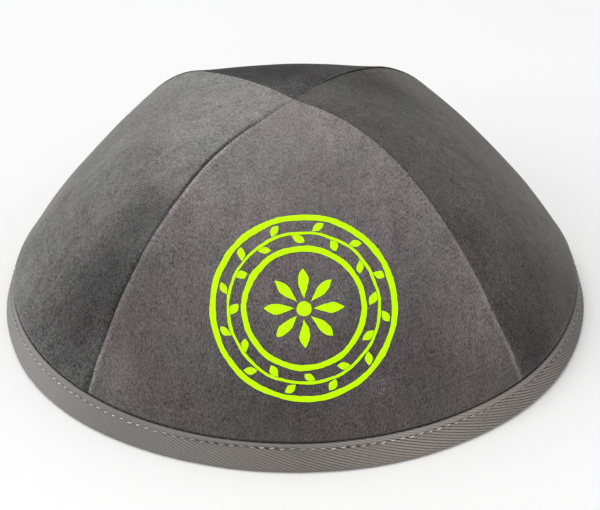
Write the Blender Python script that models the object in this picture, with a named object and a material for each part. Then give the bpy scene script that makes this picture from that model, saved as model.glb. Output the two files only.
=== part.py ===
# Four-panel suede skullcap: four gores that meet at a seam junction on top, a folded twill binding
# round the rim, and a medallion of transfer film on the front panel.
# Metres, +Z up. The origin is the centre of the rim, on the surface that the cap rests on, and the
# front panel faces -Y.

import math
from collections import namedtuple

import bmesh
import bpy
import numpy as np

MM = 0.001

# The cap as a whole
RIM_RADIUS = 86.0 * MM
CROWN_HEIGHT = 68.5 * MM
GAP = 0.3 * MM

# Suede panels
PANEL_WALL = 1.8 * MM
PANEL_TUCKED_WALL = 1.0 * MM
PANEL_SWELL = 0.2 * MM
PANEL_SWELL_START = 0.5 * MM
PANEL_SWELL_END = 2.0 * MM
SEAM_ROLL_DEPTH = 0.6 * MM
SEAM_ROLL_WIDTH = 1.8 * MM
SEAM_ALLOWANCE_WIDTH = 5.0 * MM
SEAM_ALLOWANCE_THICKNESS = 1.0 * MM
SEAM_ALLOWANCE_STEP = 1.0 * MM
SQUARING_LENGTH = 12.0 * MM
# How much wider the front and back panels spread at the rim, each side, at the side panels' expense.
SEAM_FLARE = math.radians(1.8)
SEAM_FLARE_LENGTH = 42.0 * MM

# Folded binding tape
TAPE_THICKNESS = 1.0 * MM
TAPE_COVER = 8.6 * MM
TAPE_FOLD_RADIUS = 1.2 * MM
TAPE_EDGE_ROUNDING = 0.3 * MM

# Medallion of transfer film
FILM_THICKNESS = 0.3 * MM
PRINT_CENTRE_UP_WALL = 45.5 * MM
OUTER_RING_RADIUS = 25.9 * MM
OUTER_RING_LINE = 1.45 * MM
INNER_RING_RADIUS = 17.1 * MM
INNER_RING_LINE = 1.4 * MM
WREATH_STEM_LINE = 0.8 * MM
WREATH_CLEARANCE = 0.65 * MM
WREATH_LEAVES = 24
ROSETTE_CLEARANCE = 5.0 * MM
ROSETTE_HUB_RADIUS = 2.6 * MM
ROSETTE_PETALS = 8

# Mesh fineness
PROFILE_SAMPLES = 60
PANEL_COLUMNS = 12
PANEL_ROWS = 14
RIM_STEPS = 72
RING_STEPS = 48
PRINT_SAMPLES = 181

QUARTER = math.pi / 2
HALF_PANEL = math.pi / 4
PANEL_CREASE = math.radians(50)
TAPE_CREASE = math.radians(40)
FILM_CREASE = math.radians(30)

# Sections up the middle of a panel, from the rim to the seam junction. Height is a share of
# CROWN_HEIGHT and reach a share of RIM_RADIUS. Squareness is 0 where the level section is round and
# 1 where it is a square with its corners on the seams.
Section = namedtuple("Section", "height reach squareness")
SECTIONS = (
    Section(0.000, 1.000, 0.04),
    Section(0.150, 0.968, 0.05),
    Section(0.300, 0.896, 0.09),
    Section(0.450, 0.804, 0.14),
    Section(0.600, 0.699, 0.21),
    Section(0.730, 0.589, 0.31),
    Section(0.845, 0.472, 0.45),
    Section(0.925, 0.348, 0.66),
    Section(0.980, 0.206, 0.88),
    Section(1.000, 0.090, 0.95),
    Section(0.998, 0.000, 0.95),
)

# Looks: linear red, green and blue, and roughness
FRONT_SUEDE = (0.135, 0.120, 0.112)
SIDE_SUEDE = (0.105, 0.100, 0.097)
BACK_SUEDE = (0.075, 0.073, 0.072)
TWILL_GREY = (0.190, 0.180, 0.165)
FILM_GREEN = (0.560, 1.000, 0.005)
SUEDE_ROUGHNESS = 0.95
TWILL_ROUGHNESS = 0.85
FILM_ROUGHNESS = 0.55


def smooth_step(share):
    share = min(max(share, 0), 1)
    return share * share * (3 - 2 * share)


def catmull_rom(before, start, end, after, t):
    """The smooth curve through start and end, at share t of the way between them."""
    return 0.5 * (
        2 * start
        + (end - before) * t
        + (2 * before - 5 * start + 4 * end - after) * t**2
        + (3 * start - before - 3 * end + after) * t**3
    )


def smooth_profile():
    """Reach, height, squareness and distance up the wall, at close steps up the middle of a panel."""
    rows = np.array(
        [(RIM_RADIUS * s.reach, CROWN_HEIGHT * s.height, s.squareness) for s in SECTIONS]
    )
    # The curve runs on past the rim in a straight line, and past the junction as its own mirror image.
    before = 2 * rows[0] - rows[1]
    after = rows[-2] * (-1, 1, 1)
    rows = np.vstack([before, rows, after])
    samples = [rows[1]]
    for i in range(1, len(rows) - 2):
        for t in np.linspace(0, 1, PROFILE_SAMPLES + 1)[1:]:
            samples.append(catmull_rom(*rows[i - 1 : i + 3], t))
    reach, height, squareness = np.array(samples).T
    steps = np.hypot(np.diff(reach), np.diff(height))
    return reach, height, squareness, np.concatenate([[0], np.cumsum(steps)])


REACH, HEIGHT, SQUARENESS, UP_WALL = smooth_profile()
WALL_LENGTH = UP_WALL[-1]
# The direction that points out of the wall, as its reach and height parts.
OUT_REACH = np.gradient(HEIGHT, UP_WALL)
OUT_HEIGHT = -np.gradient(REACH, UP_WALL)


def wall_point(up, depth):
    """Reach and height of the point this far up the wall and this deep under its outer face."""
    reach = np.interp(up, UP_WALL, REACH) - depth * np.interp(up, UP_WALL, OUT_REACH)
    height = np.interp(up, UP_WALL, HEIGHT) - depth * np.interp(up, UP_WALL, OUT_HEIGHT)
    return reach, height


def up_at_height(height, depth):
    """How far up the wall the layer at this depth first reaches this height."""
    layer = HEIGHT - depth * OUT_HEIGHT
    rising = slice(0, int(np.argmax(layer)) + 1)
    return float(np.interp(height, layer[rising], UP_WALL[rising]))


def squareness_at(up):
    """The wall is round where the binding holds it, and squares up above."""
    settled = smooth_step((up - TAPE_COVER - GAP) / SQUARING_LENGTH)
    return float(np.interp(up, UP_WALL, SQUARENESS)) * settled


def half_angle(up, widening):
    """A panel's half angle at this level: wider at the rim where widening is 1, narrower where -1."""
    return HALF_PANEL + widening * SEAM_FLARE * smooth_step(1 - up / SEAM_FLARE_LENGTH)


def level_radius(reach, squareness, share):
    """Distance from the axis at this share of the way from a panel's middle to its seam."""
    return reach * (1 - squareness + squareness / np.cos(HALF_PANEL * share))


def panel_point(up, depth, share, widening):
    """A point of the panel that faces -Y; share runs from -1 at its left seam to 1 at its right."""
    reach, height = wall_point(up, depth)
    radius = level_radius(reach, squareness_at(up), share)
    angle = half_angle(up, widening) * share
    return radius * np.sin(angle), -radius * np.cos(angle), height + 0 * angle


def add_object(name, mesh, colour, roughness, parent):
    mesh.name = name
    obj = bpy.data.objects.new(name, mesh)
    bpy.context.scene.collection.objects.link(obj)
    obj.parent = parent
    material = bpy.data.materials.new(name)
    material.use_nodes = True
    shader = material.node_tree.nodes["Principled BSDF"]
    shader.inputs["Base Color"].default_value = (*colour, 1)
    shader.inputs["Roughness"].default_value = roughness
    shader.inputs["Metallic"].default_value = 0
    material.diffuse_color = (*colour, 1)
    # The material sits on the object, because opposite panels share one mesh.
    if not mesh.materials:
        mesh.materials.append(None)
    obj.material_slots[0].link = "OBJECT"
    obj.material_slots[0].material = material
    return obj


def finished_mesh(bm, crease_angle):
    bmesh.ops.recalc_face_normals(bm, faces=bm.faces)
    mesh = bpy.data.meshes.new("shape")
    bm.to_mesh(mesh)
    bm.free()
    mesh.shade_smooth()
    mesh.set_sharp_from_angle(angle=crease_angle)
    return mesh


# A column of a panel: its distance from the seam, and how far the outer edge's roll and the folded
# allowance under it reach there, from 0 to 1.
Column = namedtuple("Column", "distance roll fold")


def panel_columns(half_width):
    """Columns from a seam to the panel's middle, and how far they draw in where it is narrow."""
    rolling = 1 / 3
    edge = [
        Column(0, 1, 1),
        Column(SEAM_ROLL_WIDTH * rolling, smooth_step(1 - rolling), 1),
        Column(SEAM_ROLL_WIDTH, 0, 1),
        Column(SEAM_ALLOWANCE_WIDTH, 0, 1),
        Column(SEAM_ALLOWANCE_WIDTH + SEAM_ALLOWANCE_STEP, 0, 0),
    ]
    squeeze = min(1, half_width / 2 / edge[-1].distance)
    edge = [column._replace(distance=column.distance * squeeze) for column in edge]
    middle = np.linspace(edge[-1].distance, half_width, PANEL_COLUMNS // 2)[1:]
    return edge + [Column(distance, 0, 0) for distance in middle], squeeze


# A row of a panel: how far up the wall it lies, how deep its two faces lie under the wall's outer
# face, and how much of the seams' roll and of their folded allowance it has.
Row = namedtuple("Row", "up outer inner roll fold")


def panel_row(row, widening):
    """One closed section of the wall: its outer face from seam to seam, then its inner face back."""

    def seam_radius(depth):
        return level_radius(wall_point(row.up, depth)[0], squareness_at(row.up), 1)

    spread = half_angle(row.up, widening)
    half_width = seam_radius(row.outer) * spread
    columns, squeeze = panel_columns(half_width)
    outer, inner = [], []
    for column in columns:
        rolled = row.outer + SEAM_ROLL_DEPTH * squeeze * row.roll * column.roll
        folded = row.inner + SEAM_ALLOWANCE_THICKNESS * row.fold * column.fold
        for points, depth in ((outer, rolled), (inner, folded)):
            clear = math.asin(GAP / 2 / seam_radius(depth)) / spread
            share = (1 - clear) * (1 - column.distance / half_width)
            points.append([panel_point(row.up, depth, side * share, widening) for side in (-1, 1)])
    across = []
    for points, backwards in ((outer, False), (inner, True)):
        run = [left for left, _ in points] + [right for _, right in reversed(points[:-1])]
        across += run[::-1] if backwards else run
    return across


def panel_rows():
    """Tucked thin into the binding, swollen just above it, then even rows up to the junction."""
    tucked_outer = TAPE_THICKNESS + GAP
    tucked_inner = tucked_outer + PANEL_TUCKED_WALL
    foot = TAPE_THICKNESS + GAP
    mouth = TAPE_COVER + GAP
    free_start = mouth + 2 * PANEL_SWELL_END
    rows = [
        Row(up_at_height(foot, tucked_inner), tucked_outer, tucked_inner, 0, 0),
        Row(mouth, tucked_outer, tucked_inner, 0, 0),
        Row(mouth + PANEL_SWELL_START, -PANEL_SWELL / 2, PANEL_WALL, 0.5, 1),
        Row(mouth + PANEL_SWELL_END, -PANEL_SWELL, PANEL_WALL, 1, 1),
    ]
    for up in np.linspace(free_start, WALL_LENGTH, PANEL_ROWS + 1)[:-1]:
        rows.append(Row(up, 0, PANEL_WALL, 1, 1))
    return rows


def panel_mesh(widening):
    """One gore, closed at its foot between the two faces of its wall, and to a point on top."""
    bm = bmesh.new()
    loops = [[bm.verts.new(p) for p in panel_row(row, widening)] for row in panel_rows()]
    count = len(loops[0])
    for lower, upper in zip(loops, loops[1:]):
        for i in range(count):
            j = (i + 1) % count
            bm.faces.new((lower[i], lower[j], upper[j], upper[i]))
    half = count // 2
    foot_loop, top_loop = loops[0], loops[-1]
    for i in range(half - 1):
        bm.faces.new((foot_loop[i], foot_loop[-1 - i], foot_loop[-2 - i], foot_loop[i + 1]))
    tip_offset = GAP / 2 * math.sqrt(2)
    outer_tip = bm.verts.new((0, -tip_offset, HEIGHT[-1]))
    inner_tip = bm.verts.new((0, -tip_offset, HEIGHT[-1] - PANEL_WALL))
    for i in range(half - 1):
        bm.faces.new((top_loop[i], top_loop[i + 1], outer_tip))
        bm.faces.new((top_loop[half + i], top_loop[half + i + 1], inner_tip))
    bm.faces.new((top_loop[half - 1], top_loop[half], inner_tip, outer_tip))
    bm.faces.new((top_loop[-1], top_loop[0], outer_tip, inner_tip))
    return finished_mesh(bm, PANEL_CREASE)


def binding_profile():
    """The folded tape's section: up the outside, down into the fold, up the inner leg and back under."""
    inner_leg = TAPE_THICKNESS + GAP + PANEL_TUCKED_WALL + GAP
    full_depth = inner_leg + TAPE_THICKNESS
    bend = TAPE_FOLD_RADIUS

    def leg_top(depth):
        low = TAPE_COVER - TAPE_EDGE_ROUNDING
        return [
            wall_point(low, depth),
            wall_point(TAPE_COVER, depth + TAPE_EDGE_ROUNDING),
            wall_point(TAPE_COVER, depth + TAPE_THICKNESS - TAPE_EDGE_ROUNDING),
            wall_point(low, depth + TAPE_THICKNESS),
        ]

    def at_height(height, depth):
        return wall_point(up_at_height(height, depth), depth)

    outside, inside = at_height(bend, 0)[0], at_height(bend, full_depth)[0]
    turns = [math.radians(degrees) for degrees in (0, 30, 60, 90)]
    outer_bend = [(outside - bend * (1 - math.cos(a)), bend * (1 - math.sin(a))) for a in turns]
    inner_bend = [(inside + bend * (1 - math.cos(a)), bend * (1 - math.sin(a))) for a in turns]
    middle = TAPE_COVER / 2
    return [
        *reversed(outer_bend),
        wall_point(middle, 0),
        *leg_top(0),
        at_height(TAPE_THICKNESS, TAPE_THICKNESS),
        at_height(TAPE_THICKNESS, inner_leg),
        *leg_top(inner_leg),
        wall_point(middle, full_depth),
        *inner_bend,
    ]


def binding_mesh():
    bm = bmesh.new()
    verts = [bm.verts.new((reach, 0, height)) for reach, height in binding_profile()]
    edges = [bm.edges.new((a, b)) for a, b in zip(verts, verts[1:] + verts[:1])]
    bmesh.ops.spin(
        bm,
        geom=verts + edges,
        cent=(0, 0, 0),
        axis=(0, 0, 1),
        angle=2 * math.pi,
        steps=RIM_STEPS,
        use_merge=True,
    )
    return finished_mesh(bm, TAPE_CREASE)


def print_point(across, along, lift):
    """A point of the flat medallion, laid on the front panel and lifted off it."""
    shares = np.linspace(-1, 1, PRINT_SAMPLES)
    x, y, z = panel_point(PRINT_CENTRE_UP_WALL + along, -lift, shares, 1)
    length = np.concatenate([[0], np.cumsum(np.hypot(np.diff(x), np.diff(y)))])
    length -= length[PRINT_SAMPLES // 2]
    return [float(np.interp(across, length, values)) for values in (x, y, z)]


def film_mesh(points, faces):
    """Transfer film cut to flat faces, laid on the front panel with its true thickness."""
    bm = bmesh.new()
    verts = [bm.verts.new((across, along, GAP)) for across, along in points]
    under = [bm.faces.new([verts[i] for i in face]) for face in faces]
    grown = bmesh.ops.extrude_face_region(bm, geom=under, use_keep_orig=True)
    for item in grown["geom"]:
        if isinstance(item, bmesh.types.BMVert):
            item.co.z += FILM_THICKNESS
    for vert in bm.verts:
        vert.co = print_point(*vert.co)
    return finished_mesh(bm, FILM_CREASE)


def around(radius, steps, start=0.0):
    turns = [start + 2 * math.pi * i / steps for i in range(steps)]
    return [(radius * math.sin(a), radius * math.cos(a)) for a in turns]


def ring_shape(radius, line, steps=RING_STEPS):
    """A flat ring: its outer points, its inner points, and a face for each step."""
    points = around(radius, steps) + around(radius - line, steps)
    faces = [(i, (i + 1) % steps, steps + (i + 1) % steps, steps + i) for i in range(steps)]
    return points, faces


# A corner of a leaf: its turn past the leaf's root, in steps of the stem, and how far it reaches
# from the stem to the wreath's edge.
LeafCorner = namedtuple("LeafCorner", "turns reach")
LEAF_CORNERS = (LeafCorner(0.55, 0.62), LeafCorner(2.45, 1.00), LeafCorner(2.15, 0.42))


def wreath_shape():
    """A ring stem with leaves that lean along it, one outward and one inward in turn."""
    inner_edge = INNER_RING_RADIUS + WREATH_CLEARANCE
    outer_edge = OUTER_RING_RADIUS - OUTER_RING_LINE - WREATH_CLEARANCE
    stem_outer = (inner_edge + outer_edge + WREATH_STEM_LINE) / 2
    stem_inner = stem_outer - WREATH_STEM_LINE
    steps = 2 * WREATH_LEAVES
    points, faces = ring_shape(stem_outer, WREATH_STEM_LINE, steps)
    step_angle = 2 * math.pi / steps
    for leaf in range(WREATH_LEAVES):
        root = 2 * leaf
        if leaf % 2 == 0:
            stem_points, stem_edge, edge = 0, stem_outer, outer_edge
        else:
            stem_points, stem_edge, edge = steps, stem_inner, inner_edge
        first = len(points)
        for corner in LEAF_CORNERS:
            angle = (root + corner.turns) * step_angle
            radius = stem_edge + (edge - stem_edge) * corner.reach
            points.append((radius * math.sin(angle), radius * math.cos(angle)))
        start = stem_points + root
        faces.append((start, start + 1, first + 2, first + 1, first))
    return points, faces


# A cross line of a petal: how far out it lies as a share of the rosette's radius, and its half
# width as a share of the turn from one petal to the next.
PetalLine = namedtuple("PetalLine", "reach half_width")
PETAL_LINES = (PetalLine(0.45, 0.23), PetalLine(0.68, 0.25), PetalLine(0.86, 0.15))


def rosette_shape():
    """A hub with pointed petals, each grown from one side of it."""
    radius = INNER_RING_RADIUS - INNER_RING_LINE - ROSETTE_CLEARANCE
    pitch = 2 * math.pi / ROSETTE_PETALS
    sides = 2 * ROSETTE_PETALS
    points = around(ROSETTE_HUB_RADIUS, sides, -pitch / 4)
    faces = [tuple(range(sides))]
    for petal in range(ROSETTE_PETALS):
        middle = petal * pitch
        left, right = 2 * petal, 2 * petal + 1
        for line in PETAL_LINES:
            first = len(points)
            for turn in (middle - line.half_width * pitch, middle + line.half_width * pitch):
                points.append((radius * line.reach * math.sin(turn), radius * line.reach * math.cos(turn)))
            faces.append((left, right, first + 1, first))
            left, right = first, first + 1
        points.append((radius * math.sin(middle), radius * math.cos(middle)))
        faces.append((left, right, len(points) - 1))
    return points, faces


def build_panels(cap):
    wide, narrow = panel_mesh(1), panel_mesh(-1)
    looks = (
        ("front_panel", wide, FRONT_SUEDE),
        ("right_panel", narrow, SIDE_SUEDE),
        ("back_panel", wide, BACK_SUEDE),
        ("left_panel", narrow, SIDE_SUEDE),
    )
    for turn, (name, mesh, colour) in enumerate(looks):
        panel = add_object(name, mesh, colour, SUEDE_ROUGHNESS, cap)
        panel.rotation_euler.z = turn * QUARTER


def build_binding(cap):
    add_object("rim_binding", binding_mesh(), TWILL_GREY, TWILL_ROUGHNESS, cap)


def build_medallion(cap):
    shapes = (
        ("print_outer_ring", ring_shape(OUTER_RING_RADIUS, OUTER_RING_LINE)),
        ("print_wreath", wreath_shape()),
        ("print_inner_ring", ring_shape(INNER_RING_RADIUS, INNER_RING_LINE)),
        ("print_rosette", rosette_shape()),
    )
    for name, shape in shapes:
        add_object(name, film_mesh(*shape), FILM_GREEN, FILM_ROUGHNESS, cap)


def main():
    for obj in list(bpy.data.objects):
        bpy.data.objects.remove(obj)
    cap = bpy.data.objects.new("cap", None)
    bpy.context.scene.collection.objects.link(cap)
    build_panels(cap)
    build_binding(cap)
    build_medallion(cap)


main()
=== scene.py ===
import math

import bpy
import numpy as np
from mathutils import Matrix, Vector, noise


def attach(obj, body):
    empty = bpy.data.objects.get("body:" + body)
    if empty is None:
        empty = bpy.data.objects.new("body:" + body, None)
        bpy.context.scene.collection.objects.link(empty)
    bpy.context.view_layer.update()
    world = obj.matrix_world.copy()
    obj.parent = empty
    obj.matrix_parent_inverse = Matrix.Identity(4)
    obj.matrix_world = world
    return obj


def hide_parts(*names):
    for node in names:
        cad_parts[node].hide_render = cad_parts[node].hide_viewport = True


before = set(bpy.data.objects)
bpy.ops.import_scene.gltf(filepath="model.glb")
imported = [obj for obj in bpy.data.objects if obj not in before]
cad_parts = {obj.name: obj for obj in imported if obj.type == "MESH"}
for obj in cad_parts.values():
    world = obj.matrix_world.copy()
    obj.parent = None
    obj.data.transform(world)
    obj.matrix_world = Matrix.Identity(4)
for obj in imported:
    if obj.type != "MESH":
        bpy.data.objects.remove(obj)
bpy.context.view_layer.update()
print("frame loaded:", len(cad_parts), "nodes")

mm = 0.001
quarterTurn = math.pi / 2
fullTurn = 2 * math.pi

# Sizes that all the pieces share. They are the frame's own.
cap = {
    "rimRadius": 86.0 * mm,
    "crownHeight": 68.5 * mm,
    "tapeCover": 8.6 * mm,
    "tapeThickness": 1.0 * mm,
    "suedeThickness": 1.8 * mm,
    "tuckedThickness": 1.0 * mm,
    "squaringStart": 8.9 * mm,
    "squaringLength": 12.0 * mm,
    "seamFlare": math.radians(1.8),
    "seamFlareLength": 42.0 * mm,
}
rimLength = fullTurn * cap["rimRadius"]

# The wall up the middle of a panel, from the rim to the seam junction: shares of the crown's height and
# of the rim's radius, and how square the level section is there.
wallSections = {
    "height": [0.000, 0.150, 0.300, 0.450, 0.600, 0.730, 0.845, 0.925, 0.980, 1.000, 0.998],
    "reach": [1.000, 0.968, 0.896, 0.804, 0.699, 0.589, 0.472, 0.348, 0.206, 0.090, 0.000],
    "squareness": [0.04, 0.05, 0.09, 0.14, 0.21, 0.31, 0.45, 0.66, 0.88, 0.95, 0.95],
}

# Sewn seams wander a little: how far each one lies round the cap from its true place, in mm, at even
# steps up the wall from the rim to the seam junction. Plus is anticlockwise as seen from above.
seamWander = {
    "frontLeft": [0.7, 0.8, 1.0, 0.1, -0.8, -0.5, -0.4, 0.4, 1.0, 0.9, 0.75, 1.1, 0.0],
    "frontRight": [0.3, 0.3, -0.3, -0.2, 0.5, 0.4, 0.2, 0.1, -0.2, 0.3, 0.9, 0.8, 0.0],
    "backRight": [0.3, 0.1, -0.2, -0.3, 0.0, 0.3, 0.2, 0.1, 0.2, 0.6, 0.8, 0.4, 0.0],
    "backLeft": [-0.2, 0.0, 0.3, 0.4, 0.1, -0.3, -0.2, 0.2, -0.3, -0.5, 0.0, -0.2, 0.0],
}
wanderSmoothing = 4.0 * mm
leastReach = 5.0 * mm  # nearer the junction than this, a wander is no wider an angle

# At the same steps up the wall: how deep the cloth dips at each seam, as a share of a full dip, how dark
# the painted shade on the line between the two gores is, and how strong the painted highlight on the proud
# edge beside it is.
seamDip = {
    "frontLeft": [0.8, 0.8, 0.9, 1.0, 0.9, 0.6, 0.5, 0.6, 0.8, 1.0, 0.9, 0.5, 0.4],
    "frontRight": [0.3] * 13,
    "backRight": [0.5, 0.5, 0.5, 0.5, 0.5, 0.5, 0.5, 0.5, 0.5, 0.7, 0.6, 0.2, 0.1],
    "backLeft": [0.5, 0.5, 0.5, 0.5, 0.5, 0.5, 0.5, 0.4, 0.3, 0.2, 0.2, 0.2, 0.2],
}
seamShade = {
    "frontLeft": [0.10, 0.10, 0.20, 0.30, 0.50, 0.60, 0.45, 0.55, 0.85, 1.00, 0.85, 0.45, 0.25],
    "frontRight": [0.00, 0.00, 0.00, 0.00, 0.00, 0.00, 0.00, 0.10, 0.15, 0.15, 0.05, 0.00, 0.00],
    "backRight": [0.40, 0.40, 0.40, 0.50, 0.50, 0.50, 0.50, 0.50, 0.50, 0.45, 0.75, 0.15, 0.00],
    "backLeft": [0.40, 0.40, 0.40, 0.50, 0.50, 0.50, 0.50, 0.40, 0.20, 0.05, 0.00, 0.00, 0.00],
}
seamLight = {
    "frontLeft": [2.00, 2.00, 1.40, 1.00, 0.75, 0.60, 0.60, 0.85, 0.75, 0.70, 0.55, 0.30, 0.20],
    "frontRight": [1.00, 1.40, 1.10, 0.90, 0.60, 0.40, 0.20, 0.10, 0.00, 0.00, 0.00, 0.00, 0.00],
    "backRight": [0.50, 0.50, 0.50, 0.60, 0.60, 0.50, 0.50, 0.50, 0.50, 0.50, 0.40, 0.30, 0.20],
}
seamLight["backLeft"] = seamLight["backRight"]

# The cloth isn't quite even: slow waves, small ones, and puckers where the tape is sewn on.
relief = {
    "broad": {"size": 30.0 * mm, "depth": 0.45 * mm, "place": 3.1},
    "small": {"size": 9.0 * mm, "depth": 0.08 * mm, "place": 11.7},
    "pucker": {"size": 5.0 * mm, "depth": 0.16 * mm, "place": 23.9},
    "puckerStretch": (1, 1, 0.3),
    "puckerRise": 2.0 * mm,
    "puckerReach": 4.0 * mm,
    "fadeLength": 5.0 * mm,
    "noiseSlant": (1.0, 0.37, -0.61),
    "sags": [  # where the cloth has sunk or swollen: its place, its size and its depth, in mm
        (2, 34, 66, 22, -0.75), (34, 32, 62, 14, -0.35), (42, 14, 62, 12, 0.45), (-40, 20, 62, 12, 0.25),
        (-62, 10, 40, 16, -0.35), (74, -8, 18, 14, -0.30), (-78, 6, 14, 12, 0.45), (-30, -70, 25, 18, -0.30),
        (-72, 18, 27, 18, -0.45),
    ],
    "flare": [  # where the soft rim kicks out: heading from the front, spread, height it fades at, reach
        (0, 400, 9, 0.60), (-48, 18, 9, 0.90), (20, 15, 9, 0.40), (50, 14, 22, 0.65), (-64, 11, 9, 0.45),
    ],
}


# How far along a line of spots each one lies.
def runAlong(x, y):
    return np.concatenate([[0], np.cumsum(np.hypot(np.diff(x), np.diff(y)))])


def traceWall(stepsPerSection=60):
    rows = np.stack(
        [
            cap["rimRadius"] * np.array(wallSections["reach"]),
            cap["crownHeight"] * np.array(wallSections["height"]),
            np.array(wallSections["squareness"]),
        ],
        axis=1,
    )
    rows = np.vstack([2 * rows[0] - rows[1], rows, rows[-2] * (-1, 1, 1)])
    traced = [rows[1]]
    for i in range(1, len(rows) - 2):
        before, start, end, after = rows[i - 1 : i + 3]
        for t in np.linspace(0, 1, stepsPerSection + 1)[1:]:
            linear = (end - before) * t
            square = (2 * before - 5 * start + 4 * end - after) * t**2
            cube = (3 * start - before - 3 * end + after) * t**3
            traced.append(start + 0.5 * (linear + square + cube))
    reach, height, squareness = np.array(traced).T
    up = runAlong(reach, height)
    return {
        "reach": reach,
        "height": height,
        "squareness": squareness,
        "up": up,
        "outReach": np.gradient(height, up),
        "outHeight": -np.gradient(reach, up),
    }


wall = traceWall()
wallLength = wall["up"][-1]


def smoothStep(share):
    share = np.clip(share, 0, 1)
    return share * share * (3 - 2 * share)


def along(name, up):
    return np.interp(up, wall["up"], wall[name])


# Reach and height of a spot this far up the wall and this deep under its outer face.
def wallSpot(up, depth):
    reach = along("reach", up) - depth * along("outReach", up)
    height = along("height", up) - depth * along("outHeight", up)
    return reach, height


def upAtHeight(height, depth):
    layer = wall["height"] - depth * wall["outHeight"]
    rising = slice(0, int(np.argmax(layer)) + 1)
    return float(np.interp(height, layer[rising], wall["up"][rising]))


def squarenessAt(up):
    return along("squareness", up) * smoothStep((up - cap["squaringStart"]) / cap["squaringLength"])


def halfAngle(up, widening):
    return quarterTurn / 2 + widening * cap["seamFlare"] * smoothStep(1 - up / cap["seamFlareLength"])


# What one of the seam tables says this far up the wall, smoothed over a few millimetres.
def seamRow(table, seam, up):
    row = table[seam]
    steps = np.linspace(0, wallLength, len(row))
    return sum(np.interp(up + wanderSmoothing * t, steps, row) for t in (-1, -0.5, 0, 0.5, 1)) / 5


# How far a seam has wandered round the cap this far up the wall, as an angle.
def wanderAt(seam, up):
    return seamRow(seamWander, seam, up) * mm / np.maximum(along("reach", up), leastReach)


# A spot of the panel that has been turned this many quarters from the front one, which faces -Y: share
# runs from -1 at its left seam to 1 at its right one.
def panelSpot(up, depth, share, widening, quarters=0):
    reach, height = wallSpot(up, depth)
    square = squarenessAt(up)
    radius = reach * (1 - square + square / np.cos(quarterTurn / 2 * share))
    names = list(seamWander)
    nearLeft, nearRight = np.clip(-share, 0, 1) ** 2, np.clip(share, 0, 1) ** 2
    wander = nearLeft * wanderAt(names[quarters], up) + nearRight * wanderAt(names[(quarters + 1) % 4], up)
    angle = halfAngle(up, widening) * share + wander + quarters * quarterTurn
    return np.stack([radius * np.sin(angle), -radius * np.cos(angle), height + 0 * angle], axis=-1)


def noiseAt(points, size, place):
    shift = Vector([place * share for share in relief["noiseSlant"]])
    return np.array([noise.noise(Vector(p) / size + shift) for p in points])


def wavesAt(points, waves):
    return waves["depth"] * noiseAt(points, waves["size"], waves["place"])


# One in the middle, and falling away to nothing on both sides.
def bell(away):
    return np.exp(-(away**2))


# How far the cloth stands out of the plain wall, from where it lies on the cap.
def reliefAt(points, up):
    broad = wavesAt(points, relief["broad"])
    for x, y, z, size, depth in relief["sags"]:
        away = np.linalg.norm(points / mm - (x, y, z), axis=1) / size
        broad = broad + depth * mm * bell(away)
    small = wavesAt(points, relief["small"])
    pucker = wavesAt(points * relief["puckerStretch"], relief["pucker"])
    past = up - cap["tapeCover"]
    nearTape = np.exp(-np.maximum(past, 0) / relief["puckerReach"]) * smoothStep(past / relief["puckerRise"])
    return (broad + small) * smoothStep(past / relief["fadeLength"]) + pucker * nearTape


# Where each spot lies round the cap, in degrees from the front.
def headingOf(places):
    return np.degrees(np.arctan2(places[:, 0], -places[:, 1]))


# How much of something there is round the cap, from rows of heading, spread and share.
def roundTheCap(places, rows):
    heading = headingOf(places)
    return sum(share * bell((heading - at) / spread) for at, spread, share in rows)


# The soft rim kicks out a little over the floor, and all that is sewn there goes with it.
def flareRim(points):
    heading = headingOf(points)
    out = 0 * heading
    for at, spread, fadeHeight, far in relief["flare"]:
        low = smoothStep(1 - points[:, 2] / (fadeHeight * mm))
        out = out + far * mm * low * bell((heading - at) / spread)
    share = out / np.maximum(np.hypot(points[:, 0], points[:, 1]), 1 * mm)
    return points * np.stack([1 + share, 1 + share, 1 + 0 * share], axis=1)


def clearSelection():
    if bpy.context.object and bpy.context.object.mode != "OBJECT":
        bpy.ops.object.mode_set(mode="OBJECT")
    bpy.ops.object.select_all(action="DESELECT")


def newest(name):
    piece = bpy.context.object
    piece.name = name
    piece.data.name = name
    return piece


def choose(piece):
    clearSelection()
    piece.select_set(True)
    bpy.context.view_layer.objects.active = piece


def placesOf(piece):
    places = np.empty(len(piece.data.vertices) * 3)
    piece.data.vertices.foreach_get("co", places)
    return places.reshape(-1, 3)


def movePlaces(piece, places):
    piece.data.vertices.foreach_set("co", np.asarray(places, float).ravel())
    piece.data.update()


def keepValues(piece, values):
    for name, numbers in values.items():
        kept = piece.data.attributes.new(name, "FLOAT", "POINT")
        kept.data.foreach_set("value", np.asarray(numbers, np.float32))


def readValues(piece, name):
    values = np.empty(len(piece.data.vertices), np.float32)
    piece.data.attributes[name].data.foreach_get("value", values)
    return values.astype(float)


def cornersOf(piece):
    corners = np.empty(len(piece.data.loops), int)
    piece.data.loops.foreach_get("vertex_index", corners)
    return corners


def keepMap(piece, name, perCorner):
    layer = piece.data.uv_layers.new(name=name)
    layer.data.foreach_set("uv", perCorner.astype(np.float32).ravel())


def apply(piece, kind, settings):
    choose(piece)
    modifier = piece.modifiers.new(kind.title(), kind)
    for name, value in settings.items():
        setattr(modifier, name, value)
    bpy.ops.object.modifier_apply(modifier=modifier.name)


# One operator of edit mode on the whole piece.
def editAll(piece, operator, **settings):
    choose(piece)
    bpy.ops.object.mode_set(mode="EDIT")
    bpy.ops.mesh.select_all(action="SELECT")
    operator(**settings)
    bpy.ops.object.mode_set(mode="OBJECT")


def smoothShade(piece, degrees):
    choose(piece)
    bpy.ops.object.shade_smooth_by_angle(angle=math.radians(degrees))


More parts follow.
